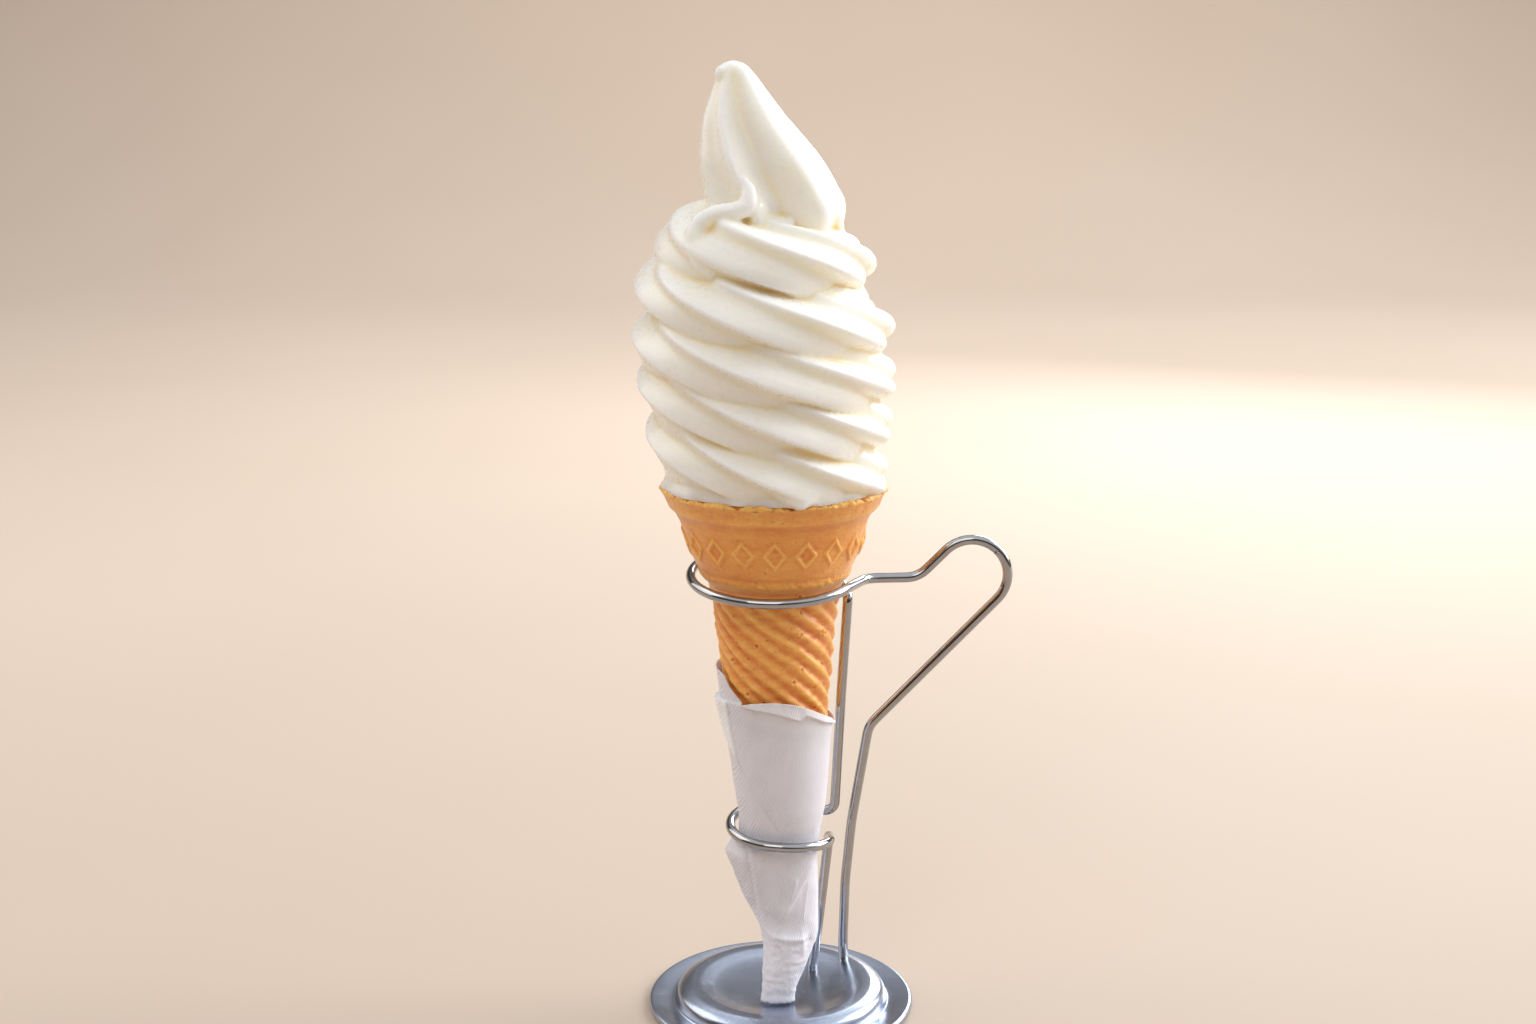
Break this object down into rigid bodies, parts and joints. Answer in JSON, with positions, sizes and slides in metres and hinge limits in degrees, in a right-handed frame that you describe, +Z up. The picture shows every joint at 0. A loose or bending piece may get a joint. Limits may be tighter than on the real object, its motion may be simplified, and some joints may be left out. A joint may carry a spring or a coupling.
{
  "type": "soft serve cone",
  "caption": "Wafer cone with a tall piped swirl of soft ice cream, in a paper sleeve, standing in the rings of a bent wire holder with a loop handle on a round metal base.",
  "frame": {"origin": "middle of the base's flat underside", "axes": "+Z up along the stand, -Y towards the front, the handle on +X"},
  "size_m": [0.0971, 0.0704, 0.2471],
  "materials": {
    "ice_cream": "smooth, cold and slightly wet soft ice cream, warm white",
    "wafer": "baked golden wafer, finely pitted and matt",
    "paper": "thin white paper with a fine slanting emboss",
    "polished_wire": "polished stainless steel wire",
    "brushed_base": "satin stainless steel with fine scratches"
  },
  "bodies": {
    "root": {"soft_serve": "ice_cream", "cone": "wafer", "paper_sleeve": "paper", "wire_holder": "polished_wire", "base": "brushed_base"}
  },
  "joints": []
}
